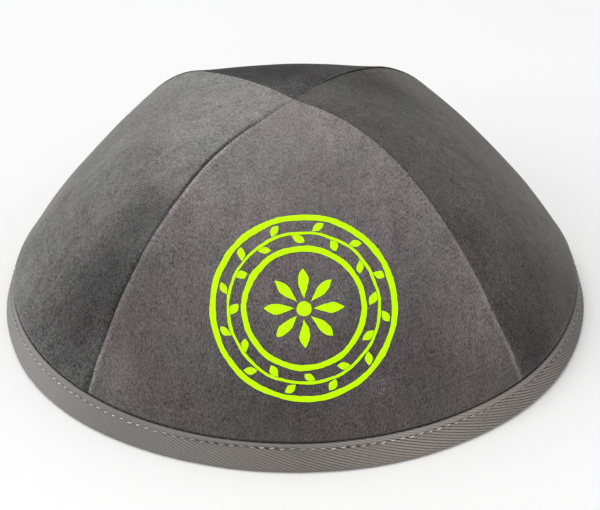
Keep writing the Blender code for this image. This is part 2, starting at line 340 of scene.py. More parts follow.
def joinPieces(name, parts):
    clearSelection()
    for part in parts:
        part.select_set(True)
    bpy.context.view_layer.objects.active = parts[0]
    bpy.ops.object.join()
    return newest(name)


def placedCopy(piece, matrix):
    copy = piece.copy()
    copy.data = piece.data.copy()
    copy.data.transform(matrix)
    bpy.context.scene.collection.objects.link(copy)
    return copy


def finish(piece, node, material):
    piece.data.materials.clear()
    piece.data.materials.append(material)
    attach(piece, "root")
    if node:
        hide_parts(node)
    print("made", piece.name, "with", len(piece.data.polygons), "faces")


# A socket that adds, subtracts and multiplies as a number does.
class Wire:
    def __init__(self, bench, socket):
        self.bench = bench
        self.socket = socket

    def maths(self, operation, first, second):
        return self.bench.node("ShaderNodeMath", {"operation": operation}, {0: first, 1: second})

    def __add__(self, other):
        return self.maths("ADD", self, other)

    def __radd__(self, other):
        return self.maths("ADD", other, self)

    def __sub__(self, other):
        return self.maths("SUBTRACT", self, other)

    def __rsub__(self, other):
        return self.maths("SUBTRACT", other, self)

    def __mul__(self, other):
        return self.maths("MULTIPLY", self, other)

    def __rmul__(self, other):
        return self.maths("MULTIPLY", other, self)


# One material on the bench: its nodes are made and joined here.
class Bench:
    def __init__(self, name, uniform):
        self.material = bpy.data.materials.new(name)
        self.material.use_nodes = True
        self.nodes = self.material.node_tree.nodes
        self.links = self.material.node_tree.links
        self.shader = self.nodes["Principled BSDF"]
        for socket, value in uniform.items():
            self.shader.inputs[socket].default_value = value

    def plug(self, socket, value):
        if isinstance(value, Wire):
            self.links.new(value.socket, socket)
        else:
            socket.default_value = value

    def node(self, kind, settings, sockets, output=0):
        made = self.nodes.new(kind)
        for name, value in settings.items():
            setattr(made, name, value)
        for name, value in sockets.items():
            self.plug(made.inputs[name], value)
        return Wire(self, made.outputs[output])

    def map(self, name):
        return self.node("ShaderNodeUVMap", {"uv_map": name}, {})

    def value(self, name):
        return self.node("ShaderNodeAttribute", {"attribute_name": name}, {}, "Fac")

    def scaled(self, vector, scale, place=(0.0, 0.0, 0.0)):
        return self.node("ShaderNodeMapping", {}, {"Vector": vector, "Location": place, "Scale": scale})

    def noise(self, vector, scale, detail=2.0, roughness=0.5, distortion=0.0):
        sockets = {
            "Vector": self.scaled(vector, scale),
            "Scale": 1.0,
            "Detail": detail,
            "Roughness": roughness,
            "Distortion": distortion,
        }
        return self.node("ShaderNodeTexNoise", {}, sockets)

    def ramp(self, value, low, high, start=0.0, end=1.0):
        sockets = {"Value": value, "From Min": low, "From Max": high, "To Min": start, "To Max": end}
        return self.node("ShaderNodeMapRange", {"interpolation_type": "SMOOTHSTEP"}, sockets)

    # Noise keeps near its middle: this spreads it to about -1 to 1.
    def spread(self, value):
        sockets = {"Value": value, "From Min": 0.30, "From Max": 0.70, "To Min": -1.0, "To Max": 1.0}
        return self.node("ShaderNodeMapRange", {}, sockets)

    def blend(self, share, *colours):
        first, second = (each if isinstance(each, Wire) else opaque(each) for each in colours)
        return self.node("ShaderNodeMix", {"data_type": "RGBA"}, {0: share, 6: first, 7: second}, 2)

    def feed(self, **sockets):
        names = {
            "colour": "Base Color",
            "roughness": "Roughness",
            "normal": "Normal",
            "glow": "Emission Color",
        }
        for name, value in sockets.items():
            self.plug(self.shader.inputs[names[name]], value)
        return self.material

    # The colour, a roughness that follows one noise, and a bump.
    def dress(self, kit, colour, grain, height, **more):
        middle, spread = kit["roughness"]
        strength, distance = kit["bump"]
        sockets = {"Height": height, "Strength": strength, "Distance": distance}
        normal = self.node("ShaderNodeBump", {}, sockets)
        return self.feed(colour=colour, roughness=middle + spread * grain, normal=normal, **more)


def opaque(colour):
    return (*colour, 1.0)


# Wires by name, each times its share, added up.
def sharedOut(wires, shares):
    total = 0.0
    for name, share in shares.items():
        total = total + wires[name] * share
    return total


# Suede panels
suede = {
    "middleColumns": 36,
    "edgeColumns": 12,
    "edgeNearest": 0.10 * mm,
    "edgeFurthest": 4.0 * mm,
    "allowanceWidth": 5.0 * mm,
    "allowanceThickness": 1.0 * mm,
    "allowanceBevel": 0.1 * mm,
    "pastAllowance": 1.2 * mm,
    "rowSpacing": 1.25 * mm,
    "rowsUnderTape": [1.7, 4.0, 6.3, 7.6],  # in mm up the wall
    "rowsAtTape": [  # in mm past the tape's edge
        -0.30, -0.10, 0.05, 0.20, 0.35, 0.55, 0.80, 1.10, 1.45, 1.90, 2.50, 3.20, 4.00,
    ],
    "evenRowsFrom": 5.0 * mm,
    "underTape": 0.05 * mm,
    "mouthLap": 0.1 * mm,
    "mouthRise": 1.4 * mm,
    "swell": 0.22 * mm,
    "swellAt": 2.6 * mm,
    "swellSpread": 2.6 * mm,
    "seamGap": 0.03 * mm,
    "leastHalfWidth": 0.02 * mm,
    "leastThickness": 0.2 * mm,
    "weld": 0.002 * mm,
    "smoothAngle": 50,
    "mapWidth": 140.0 * mm,
    "mapStart": 500.0 * mm,
}

# The allowances are pressed towards the front and back panels, whose edges stand a little proud.
seamEdges = {
    "proud": {
        "rollWidth": 0.60 * mm, "rollDepth": 0.45 * mm,
        "dip": -0.08 * mm, "dipWidth": 3.0 * mm, "crease": 0.45,
    },
    "tucked": {
        "rollWidth": 1.30 * mm, "rollDepth": 0.80 * mm,
        "dip": 0.28 * mm, "dipWidth": 3.5 * mm, "crease": 1.9,
    },
}

# How light each panel's nap lies low on the wall and near the top, and where it is lighter or darker in
# patches: nap tone and painted light and shade, both. Each patch has its place across and up the panel, its
# size in mm, and its change.
suedePanels = {
    "front_gore": {
        "node": "front_panel", "slot": "suede_front", "quarters": 0, "widening": 1, "edge": "proud",
        "low": 0.082, "high": 0.199, "warmth": (0.85, 0.55), "grain": (1.08, 0.92),
        "sheen": 0.28, "sheenRoughness": 0.45,
        "seamGlow": 0.70, "seamBand": 1.9,
        "napAndPaintedLight": [
            (56, 33, 9, 0.42), (62, 21, 7, 0.25), (47, 50, 7, 0.15), (39, 71, 7, 0.12),
            (53, 30, 10, 0.25), (-60, 20, 10, 0.32), (-48, 14, 9, 0.15), (-33, 32, 14, 0.16),
            (4, 110, 10, 0.18), (-7, 14, 12, -0.16), (4, 78, 10, -0.10), (22, 88, 8, -0.10),
            (51, 47, 8, 0.16), (-60, 15, 8, 0.24), (-3, 43, 13, 0.12), (50, 42, 6, 0.15),
            (54, 16, 8, 0.15), (-7, 18, 6, -0.12), (10, 74, 15, -0.10), (-25, 77, 7, 0.10),
            (-14, 46, 6, 0.15), (-3, 35, 5, 0.18),
        ],
        "lint": [
            (9, 47, 3.5, 1.0), (0, 41, 3.0, 0.8), (14, 52, 3.0, 0.6), (21, 23, 4.0, 0.8),
            (-14, 50, 3.0, 0.4),
        ],
    },
    "right_gore": {
        "node": "right_panel", "slot": "suede_side", "quarters": 1, "widening": -1, "edge": "tucked",
        "low": 0.0735, "high": 0.085, "warmth": (0.90, 0.40), "grain": (1.55, 1.12),
        "sheen": 0.36, "sheenRoughness": 0.32,
        "seamGlow": 0.35, "seamBand": 1.3,
        "napAndPaintedLight": [
            (-46, 16, 14, -0.34), (-19, 9, 12, -0.28), (-41, 53, 7, -0.20), (-31, 33, 10, -0.14),
            (-57, 26, 9, -0.14), (14, 88, 9, -0.28), (15, 101, 9, -0.34), (-14, 19, 9, -0.24),
            (-13, 93, 8, -0.17), (40, 45, 15, -0.20), (22, 93, 7, -0.22), (-27, 11, 7, -0.12),
            (-50, 14, 8, -0.20), (-26, 26, 9, -0.22), (-57, 12, 6, -0.15), (4, 111, 6, 0.15),
            (14, 87, 6, -0.14), (32, 69, 7, -0.12), (0, 73, 8, 0.10), (-12, 74, 9, 0.12),
            (-25, 57, 8, 0.16), (-6, 23, 9, 0.22), (26, 26, 14, 0.18),
        ],
    },
    "back_gore": {
        "node": "back_panel", "slot": "suede_back", "quarters": 2, "widening": 1, "edge": "proud",
        "low": 0.080, "high": 0.056, "warmth": (0.20, 0.05), "grain": (1.50, 1.50),
        "sheen": 0.06, "sheenRoughness": 0.45,
        "seamGlow": 0.30, "seamBand": 1.7,
        "napAndPaintedLight": [
            (3, 97, 8, -0.25), (4, 110, 9, 0.55), (14, 86, 14, -0.35), (-8, 84, 14, -0.25),
            (-45, 25, 16, -0.20), (-4, 109, 5, 0.15), (6, 108, 5, -0.15), (10, 102, 6, -0.10),
            (12, 40, 16, -0.15), (-14, 95, 6, 0.15), (40, 24, 14, 0.20), (-20, 58, 14, 0.15),
        ],
    },
    "left_gore": {
        "node": "left_panel", "slot": "suede_side", "quarters": 3, "widening": -1, "edge": "tucked",
        "low": 0.110, "high": 0.227, "warmth": (0.10, 0.20), "grain": (1.70, 1.04),
        "sheen": 0.75, "sheenRoughness": 0.26,
        "seamGlow": -0.12, "seamBand": 3.8,
        "napAndPaintedLight": [
            (43, 46, 15, -0.48), (50, 25, 14, -0.46), (36, 64, 12, -0.38), (6, 68, 12, -0.12),
            (54, 14, 8, -0.12), (-12, 24, 10, 0.30), (-24, 31, 9, 0.20), (34, 70, 9, -0.14),
            (10, 69, 9, -0.10), (33, 20, 7, -0.10), (-20, 82, 9, -0.10), (-31, 24, 14, 0.35),
            (1, 95, 12, 0.12), (8, 17, 12, 0.30), (-2, 52, 12, 0.12), (58, 38, 7, -0.25),
            (30, 87, 8, -0.20),
        ],
    },
}


def goreRows():
    tucked = np.array(suede["rowsUnderTape"]) * mm
    rising = cap["tapeCover"] + np.array(suede["rowsAtTape"]) * mm
    start = cap["tapeCover"] + suede["evenRowsFrom"]
    count = int((wallLength - start) / suede["rowSpacing"])
    return np.concatenate([tucked, rising, np.linspace(start, wallLength, count)])


# Distances of a gore's columns from its seam at each row, and how far they draw in where it is narrow.
def goreColumns(halfWidth):
    edge = np.geomspace(suede["edgeNearest"], suede["edgeFurthest"], suede["edgeColumns"])
    fold = suede["allowanceWidth"] + np.array([-1, 1]) * suede["allowanceBevel"]
    last = suede["allowanceWidth"] + suede["pastAllowance"]
    edge = np.concatenate([[0], edge, fold, [last]])
    squeeze = np.minimum(1, halfWidth / (2 * last))
    edge = edge[None, :] * squeeze[:, None]
    steps = np.linspace(0, 1, suede["middleColumns"])[1:]
    middle = edge[:, -1:] + (halfWidth[:, None] - edge[:, -1:]) * steps[None, :]
    return np.concatenate([edge, middle], axis=1), squeeze


def outerDepth(up, distance, squeeze, edge, dipShare):
    under = cap["tapeThickness"] + suede["underTape"]
    past = up - cap["tapeCover"]
    rise = np.sin(quarterTurn * np.clip((past + suede["mouthLap"]) / suede["mouthRise"], 0, 1))
    swell = suede["swell"] * bell((past - suede["swellAt"]) / suede["swellSpread"])
    inward = np.clip(1 - distance / (edge["rollWidth"] * squeeze), 0, 1)
    roll = edge["rollDepth"] * squeeze * (1 - np.sqrt(1 - inward**2))
    dip = edge["dip"] * (1 - smoothStep(distance / (edge["dipWidth"] * squeeze)))
    return under * (1 - rise) + ((roll + dip * squeeze) * dipShare - swell) * rise


def innerDepth(up, distance, squeeze):
    above = smoothStep((up - cap["tapeCover"]) / suede["mouthRise"])
    tucked = cap["tapeThickness"] + cap["tuckedThickness"] + suede["underTape"]
    folded = distance < suede["allowanceWidth"] * squeeze
    allowance = suede["allowanceThickness"] * above * folded
    return tucked + (cap["suedeThickness"] - tucked) * above + allowance


def sewGore(name, look):
    ups = goreRows()
    edge = seamEdges[look["edge"]]
    spread = halfAngle(ups, look["widening"])
    corner = 1 + squarenessAt(ups) * (math.sqrt(2) - 1)
    halfWidth = np.maximum(along("reach", ups) * corner * spread, suede["leastHalfWidth"])
    distances, squeeze = goreColumns(halfWidth)
    rowCount, columnCount = len(ups), 2 * distances.shape[1] - 1
    # A flat cut of cloth with its true thickness, which is then laid over the wall.
    clearSelection()
    bpy.ops.mesh.primitive_grid_add(x_subdivisions=columnCount - 1, y_subdivisions=rowCount - 1, size=1)
    gore = newest(name)
    apply(gore, "SOLIDIFY", {"thickness": cap["suedeThickness"], "offset": -1})
    flat = placesOf(gore)
    column = np.rint((flat[:, 0] + 0.5) * (columnCount - 1)).astype(int)
    row = np.rint((flat[:, 1] + 0.5) * (rowCount - 1)).astype(int)
    inside = flat[:, 2] < -cap["suedeThickness"] / 2
    side = np.sign(column - columnCount // 2)
    fromSeam = np.minimum(column, columnCount - 1 - column)
    distance, up, squeezed = distances[row, fromSeam], ups[row], squeeze[row]
    seams = [list(seamWander)[(look["quarters"] + k) % 4] for k in (0, 1)]

    def beside(table):
        return np.where(side < 0, seamRow(table, seams[0], up), seamRow(table, seams[1], up))

    outer = outerDepth(up, distance, squeezed, edge, beside(seamDip))
    inner = np.maximum(innerDepth(up, distance, squeezed), outer + suede["leastThickness"])
    depth = np.where(inside, inner, outer)
    radius = wallSpot(up, depth)[0] * corner[row]
    clear = np.arcsin(np.clip(suede["seamGap"] / 2 / np.maximum(radius, 1e-6), 0, 1)) / spread[row]
    share = side * (1 - clear) * (1 - distance / halfWidth[row])
    plain = panelSpot(up, 0 * up, share, look["widening"], look["quarters"])
    depth = depth - reliefAt(plain, up)
    movePlaces(gore, flareRim(panelSpot(up, depth, share, look["widening"], look["quarters"])))
    across = side * (halfWidth[row] - distance)
    cut = np.stack([suede["mapStart"] + across, up], axis=1) / suede["mapWidth"]
    keepMap(gore, "cut", cut[cornersOf(gore)])
    less = roundTheCap(placesOf(gore), suedeFinish["tapeShadeLess"])
    values = {
        "inside": inside,
        "seamGap": distance / mm,
        "tapeGap": (up - cap["tapeCover"]) / mm,
        "napAndPaintedLight": 1 + patchesAt(across, up, look["napAndPaintedLight"]),
        "lint": patchesAt(across, up, look.get("lint", [])),
        "tapeShade": suedeFinish["tapeShade"] * np.clip(1 - less, 0, 1),
        "seamShade": beside(seamShade),
        "seamLight": beside(seamLight),
    }
    keepValues(gore, values)
    editAll(gore, bpy.ops.mesh.remove_doubles, threshold=suede["weld"])
    smoothShade(gore, suede["smoothAngle"])
    # The area takes each level as wide as at its corners, so it comes out a few percent too large.
    return gore, float(np.trapz(2 * halfWidth, ups)), float(2 * halfWidth.max())


# Broad soft patches, each with its place across and up the panel, its size in mm and its strength.
def patchesAt(across, up, patches):
    tone = 0 * up
    for left, high, size, change in patches:
        gap = np.hypot(across / mm - left, up / mm - high) / size
        tone = tone + change * bell(gap)
    return tone


# Noises are given as their scale in each direction, detail, roughness and distortion.
suedeFinish = {
    "uniform": {"Specular IOR Level": 0.12, "Sheen Tint": (0.80, 0.79, 0.78, 1.0)},
    "coolShadow": (0.0198, 0.0196, 0.0198),
    "warmShadow": (0.0212, 0.0186, 0.0186),
    "cool": (0.495, 0.494, 0.489),
    "warm": (0.547, 0.466, 0.463),
    "backing": (0.085, 0.083, 0.082),
    "backingShadow": (0.03, 0.03, 0.03),
    "backingTone": 0.7,
    "backingSpeckle": 0.25,
    "darkest": 0.02,
    "toneRange": 0.48,
    "rise": (0.16, 0.72),  # where low ends and high starts, as shares of the map
    "grains": {
        "worm": ((2.6, 1.15, 1.0), 2.0, 0.6),
        "pepper": ((3.4, 2.7, 1.0), 1.0),
        "clump": ((1.15, 0.75, 1.0), 2.0, 0.6, 0.3),
        "mottle": ((0.32, 0.20, 1.0), 4.0, 0.70, 0.5),
        "patches": ((0.065, 0.045, 1.0), 3.0, 0.55, 0.8),
        "streaks": ((0.85, 0.07, 1.0), 2.0, 0.60),
        "drift": ((0.045, 0.05, 1.0), 2.0, 0.5, 0.3),
    },
    "grainShift": 37.0,
    "tones": {"worm": 0.44, "pepper": 0.30, "mottle": 0.19, "clump": 0.21, "patches": 0.12, "streaks": 0.07},
    "bumps": {"worm": 0.6, "pepper": 0.4, "mottle": 0.5},
    "hueDrift": 0.45,
    "seamWobble": 0.10,
    "creaseDarkness": 0.80,
    "creaseCore": 0.25,
    "crestFrom": 0.55,
    "lintNoise": ((2.4, 2.4, 1.0), 1.0),
    "lintSpecks": (0.62, 0.70),
    "lint": 0.32,
    "tapeShade": 0.80,
    "tapeShadeReach": 1.0,
    "tapeShadeLess": [(-84, 13, 0.70), (66, 13, 0.75), (90, 20, 0.50)],
    "tapeWobble": 0.12,
    "roughness": (0.94, 0.05),
    "bump": (0.65, 0.14 * mm),
}


def suedeMaterial(name, look):
    kit = suedeFinish
    sheen = {"Sheen Weight": look["sheen"], "Sheen Roughness": look["sheenRoughness"]}
    bench = Bench(name, {**kit["uniform"], **sheen})
    perMm = suede["mapWidth"] / mm
    place = (look["quarters"] * kit["grainShift"], 0.0, 0.0)
    cut = bench.scaled(bench.map("cut"), (perMm, perMm, 1.0), place)
    up = bench.node("ShaderNodeSeparateXYZ", {}, {"Vector": bench.map("cut")}, 1)

    def upTheWall(low, high):
        return bench.ramp(up, *kit["rise"], low, high)

    grains = {}
    for grain, settings in kit["grains"].items():
        grains[grain] = bench.spread(bench.noise(cut, *settings))
    wave = sharedOut(grains, kit["tones"]) * upTheWall(*look["grain"])
    # The painted shade on the line between two gores and the painted highlight on the edge beside it wobble
    # with the nap. Where a gore's seam glow is negative, it paints shade beside the seam instead.
    gap = bench.value("seamGap") + (grains["clump"] + grains["mottle"]) * kit["seamWobble"]
    depth = bench.value("seamShade") * kit["creaseDarkness"]
    width = seamEdges[look["edge"]]["crease"]
    crease = bench.ramp(gap, width, kit["creaseCore"] * width, 0.0, depth)
    glow = bench.value("seamLight") * look["seamGlow"]
    crest = bench.ramp(gap, look["seamBand"], kit["crestFrom"], 0.0, glow)
    tapeGap = bench.value("tapeGap") + grains["clump"] * kit["tapeWobble"]
    tapeShade = bench.ramp(tapeGap, kit["tapeShadeReach"], 0.0) * bench.value("tapeShade")
    # Lighter up the wall and in patches: nap tone and painted light and shade.
    tone = upTheWall(look["low"], look["high"]) * bench.value("napAndPaintedLight")
    tone = tone * (1 + wave) * (1 + crest) * (1 - crease) * (1 - tapeShade)
    specks = bench.ramp(bench.noise(cut, *kit["lintNoise"]), *kit["lintSpecks"])
    tone = tone + bench.value("lint") * specks * kit["lint"]
    hue = upTheWall(*look["warmth"]) + grains["drift"] * kit["hueDrift"]
    light = bench.blend(hue, kit["cool"], kit["warm"])
    shadow = bench.blend(hue, kit["coolShadow"], kit["warmShadow"])
    nap = bench.blend((tone - kit["darkest"]) * (1 / kit["toneRange"]), shadow, light)
    speckle = kit["backingTone"] + kit["backingSpeckle"] * grains["pepper"]
    backing = bench.blend(speckle, kit["backingShadow"], kit["backing"])
    colour = bench.blend(bench.value("inside"), nap, backing)
    return bench.dress(kit, colour, grains["worm"], sharedOut(grains, kit["bumps"]))


for name, look in suedePanels.items():
    gore, area, width = sewGore(name, look)
    finish(gore, look["node"], suedeMaterial(name + "_suede", look))
print("suede panels sewn")


# Folded twill tape
tape = {
    "ribs": 222,
    "sectors": 6,
    "samplesPerRib": 8,
    "ribAngle": math.radians(18.5),
    "ribHeight": 0.10 * mm,
    "ribRoundness": 2.4,
    "foldRadius": 1.2 * mm,
    "edgeRadius": 0.5 * mm,
    "innerDepth": 2.6 * mm,
    "rowsDown": [0.9, 1.3, 1.6, 1.82, 2.0, 2.18, 2.4, 2.75, 3.3, 4.1, 5.1, 6.1, 7.0],  # in mm from the edge
    "hiddenRows": [8.0, 5.0, 2.4],  # in mm up the wall
    "stitchDown": 2.0 * mm,
    "stitchGroove": 0.16 * mm,
    "stitchGrooveWidth": 0.55 * mm,
    "holeDepth": 0.32 * mm,
    "holeLength": 0.38 * mm,
    "holeWidth": 0.34 * mm,
    "holes": [  # how open the needle holes are round the cap: heading from the front, spread and share
        (-86, 14, 1.20), (-52, 16, 0.40), (-17, 7, 1.50), (-6, 5, 1.50), (9, 5, 1.10), (26, 14, 0.60),
        (57, 8, 1.00), (180, 70, 0.70), (-180, 70, 0.70),
    ],
    "tone": [  # how much lighter or darker it is, in the same way
        (-38, 20, -0.27), (-13, 9, -0.10), (0, 8, -0.12), (24, 16, 0.18), (64, 7, -0.10), (80, 18, -0.48),
    ],
    "even": [(-13, 9, 0.25), (45, 18, -0.35)],  # how far the painted shade between its ribs, and its grain, is evened out
    # Where the tape is painted lighter and greyer, with evener ribs: painted light.
    "paintedLight": [(-60, 38, 1.00)],
    "puff": 0.07 * mm,
    "puffReach": 2.5 * mm,
    "unevenRibs": {"size": 4.0 * mm, "depth": 0.35, "place": 5.0},
    "waves": {"size": 14.0 * mm, "depth": 0.10 * mm, "place": 17.0},
    "waveStretch": (1, 1, 0.5),
    "weld": 0.01 * mm,
    "floorGap": 0.01 * mm,
    "smoothAngle": 60,
    "mapLength": 100.0 * mm,
}

stitch = {
    "count": 190,
    "coverShare": 0.47,
    "threadRadius": 0.17 * mm,
    "sides": 8,
    "cuts": 7,
    "lift": 0.16 * mm,
    "dive": 0.40 * mm,
    "tilt": math.radians(8.0),
    "unevenLength": 0.16,
    "unevenPlace": 0.14 * mm,
    "unevenTilt": 0.5,
    "unevenSteps": (2.399, 1.731, 3.883),
    "sunk": 0.6,
    "taper": 0.75,
    "bluntness": 4,
    "smoothAngle": 60,
    "threadLightness": [  # how light the thread is round the cap, in the same way
        (-57, 18, 1.00), (-34, 7, 0.65), (-7, 3, 0.70), (4, 3, 0.60), (21, 12, 0.85), (130, 50, 0.50),
        (-140, 35, 0.50),
    ],
    "rise": [(0, 38, 0.30), (-9, 12, 0.40)],  # how many mm nearer the tape's edge it runs
}
stitchLength = rimLength / stitch["count"]


# The tape's section as rows of reach, height, distance round the shown face, and 1 where it is shown.
def tapeSection():
    edge, bend, thick = tape["edgeRadius"], tape["foldRadius"], cap["tapeThickness"]
    full = tape["innerDepth"] + thick
    down = np.array(tape["rowsDown"]) * mm
    rows = []

    def add(spot, shown=1.0):
        rows.append([float(spot[0]), float(spot[1]), 0.0, shown])

    def roundedTop(depth, angles):
        for degrees in angles:
            a = math.radians(degrees)
            low = cap["tapeCover"] - edge
            add(wallSpot(low + edge * math.sin(a), depth + edge - edge * math.cos(a)))

    roundedTop(0.0, (135, 90, 45, 0))
    for distance in down:
        add(wallSpot(cap["tapeCover"] - distance, 0.0))
    outside = wallSpot(upAtHeight(bend, 0.0), 0.0)[0]
    inside = wallSpot(upAtHeight(bend, full), full)[0]
    turns = np.radians((0, 22.5, 45, 67.5, 90))
    for a in turns:
        add((outside - bend * (1 - math.cos(a)), bend * (1 - math.sin(a))))
    for a in turns[::-1]:
        add((inside + bend * (1 - math.cos(a)), bend * (1 - math.sin(a))))
    for distance in down[::-1]:
        add(wallSpot(cap["tapeCover"] - distance, full))
    roundedTop(tape["innerDepth"], (180, 135, 90, 45))
    shownRows = len(rows)
    table = np.array(rows)
    table[:, 2] = runAlong(table[:, 0], table[:, 1])
    # The hidden face against the suede needs few rows. Each takes the distance of the shown row beside it.
    hidden = []
    levels = tape["hiddenRows"]
    for depth, ups in ((tape["innerDepth"], levels), (thick, levels[::-1])):
        for up in ups:
            reach, height = wallSpot(up * mm, depth)
            nearest = np.argmin(np.hypot(table[:, 0] - reach, table[:, 1] - height))
            hidden.append([reach, height, table[nearest, 2], 0.0])
    return np.vstack([table, hidden]), shownRows


def spinTape():
    section, shownRows = tapeSection()
    columns = tape["ribs"] * tape["samplesPerRib"]
    clearSelection()
    bpy.ops.mesh.primitive_circle_add(vertices=len(section), radius=cap["rimRadius"], fill_type="NOTHING")
    ribbon = newest("twill_binding")
    movePlaces(ribbon, np.stack([section[:, 0], 0 * section[:, 0], section[:, 1]], axis=1))
    keepValues(ribbon, {"down": section[:, 2] / mm, "shown": section[:, 3]})
    # One sector is spun and then copied round, because one long spin is slow.
    steps, turn = columns // tape["sectors"], fullTurn / tape["sectors"]
    editAll(ribbon, bpy.ops.mesh.spin, steps=steps, angle=turn, center=(0, 0, 0), axis=(0, 0, 1))
    sectors = [placedCopy(ribbon, Matrix.Rotation(k * turn, 4, "Z")) for k in range(1, tape["sectors"])]
    ribbon = joinPieces("twill_binding", [ribbon, *sectors])
    editAll(ribbon, bpy.ops.mesh.remove_doubles, threshold=tape["weld"])
    editAll(ribbon, bpy.ops.mesh.normals_make_consistent, inside=False)
    return ribbon, section, shownRows, columns


# Vectors led round the cap, each by its own angle.
def ledRound(vectors, angles):
    c, s = np.cos(angles), np.sin(angles)
    x, y, z = vectors.T
    return np.stack([c * x - s * y, s * x + c * y, z], axis=1)


def mapTape(ribbon, column, columns, down):
    corners = cornersOf(ribbon)
    starts = np.empty(len(ribbon.data.polygons), int)
    ribbon.data.polygons.foreach_get("loop_start", starts)
    # The map runs on past the last column, so no face is stretched back over the whole ring.
    lap = column[corners]
    counts = np.diff(np.append(starts, len(lap)))
    highest = np.repeat(np.maximum.reduceat(lap, starts), counts)
    lap = np.where(highest - lap > columns / 2, lap + columns, lap)
    run = lap / columns * rimLength + down[corners] / math.tan(tape["ribAngle"])
    keepMap(ribbon, "cut", np.stack([run, down[corners]], axis=1) / tape["mapLength"])


def foldTape():
    ribbon, section, shownRows, columns = spinTape()
    places = placesOf(ribbon)
    down, shown = readValues(ribbon, "down") * mm, readValues(ribbon, "shown")
    angle = np.arctan2(places[:, 1], places[:, 0]) % fullTurn
    column = np.rint(angle / fullTurn * columns) % columns
    normals = np.empty(len(places) * 3)
    ribbon.data.vertex_normals.foreach_get("vector", normals)
    # The ribs run down to the right on the outside, so each column is led round as it goes down.
    lead = down / math.tan(tape["ribAngle"]) / cap["rimRadius"]
    led, out = ledRound(places, lead), ledRound(normals.reshape(-1, 3), lead)
    share = (column % tape["samplesPerRib"]) / tape["samplesPerRib"]
    rib = 1 - np.abs(2 * share - 1) ** tape["ribRoundness"]
    total = section[shownRows - 1, 2]
    fromEdge = np.minimum(down, total - down)
    around = (np.arctan2(led[:, 1], led[:, 0]) % fullTurn) * stitch["count"] / fullTurn
    toHole = (around - np.floor(around) - 0.5) * stitchLength
    stitchHeight = wallSpot(cap["tapeCover"] - tape["stitchDown"], 0.0)[1]
    # These rows of the section run down the outer leg, past the stitches.
    outerLeg = section[1:14]
    off = fromEdge - np.interp(-stitchHeight, -outerLeg[:, 1], outerLeg[:, 2])
    off = off + roundTheCap(led, stitch["rise"]) * mm
    groove = tape["stitchGroove"] * bell(off / tape["stitchGrooveWidth"])
    hole = tape["holeDepth"] * bell(off / tape["holeWidth"]) * bell(toHole / tape["holeLength"])
    hole = hole * roundTheCap(led, tape["holes"])
    puff = tape["puff"] * np.cos(fullTurn * around) * np.exp(-fromEdge / tape["puffReach"])
    ribs = tape["ribHeight"] * (rib * (1 + wavesAt(led, tape["unevenRibs"])) - 1)
    waves = wavesAt(led * tape["waveStretch"], tape["waves"])
    lift = shown * (ribs - groove - hole - puff + waves)
    led = led + out * lift[:, None]
    led[:, 2] = np.maximum(led[:, 2], tape["floorGap"])
    movePlaces(ribbon, flareRim(led))
    values = {
        "rib": rib * shown,
        "hole": shown * hole / tape["holeDepth"],
        "edge": fromEdge / mm,
        "paintedLight": roundTheCap(led, tape["paintedLight"]),
        "tone": 1 + roundTheCap(led, tape["tone"]),
        "even": roundTheCap(led, tape["even"]),
    }
    keepValues(ribbon, values)
    mapTape(ribbon, column, columns, down)
    smoothShade(ribbon, tape["smoothAngle"])
    return ribbon, total


# Ramps are given as where they start and end, and what they give there.
twillFinish = {
    "uniform": {
        "Specular IOR Level": 0.25,
        "Sheen Weight": 0.15,
        "Sheen Roughness": 0.5,
        "Sheen Tint": (0.85, 0.84, 0.82, 1.0),
    },
    # The groove colour is painted shade between the ribs.
    "groove": (0.050, 0.045, 0.041),
    "rib": (0.256, 0.230, 0.205),
    "paintedLightRib": (0.330, 0.327, 0.320),
    "hem": (0.300, 0.275, 0.248),
    "fibreNoise": ((1.2, 6.0, 1.0), 2.0, 0.6),
    "wearNoise": ((0.11, 0.25, 1.0), 3.0, 0.6),
    "noiseMiddle": 0.5,
    "shadeMiddle": 0.74,
    "ribMiddle": 0.70,
    "ribWear": (0.38, 0.60, 0.45, 1.60),
    "fibre": 1.5,
    "wear": 0.5,
    "weftPitch": 0.42,
    "weft": 0.12,
    "hemReach": (2.5, 1.9),
    "hemShade": 0.86,
    "hemLevel": 0.6,
    "paintedLightShade": 0.80,
    "paintedLightLevel": 0.75,
    "edgeShade": (0.45, 0.95, 0.45, 1.0),
    "holeWear": (0.36, 0.62, 0.7, 1.4),
    "roughness": (0.75, 0.2),
    "weftBump": 0.5,
    "bump": (0.35, 0.05 * mm),
}


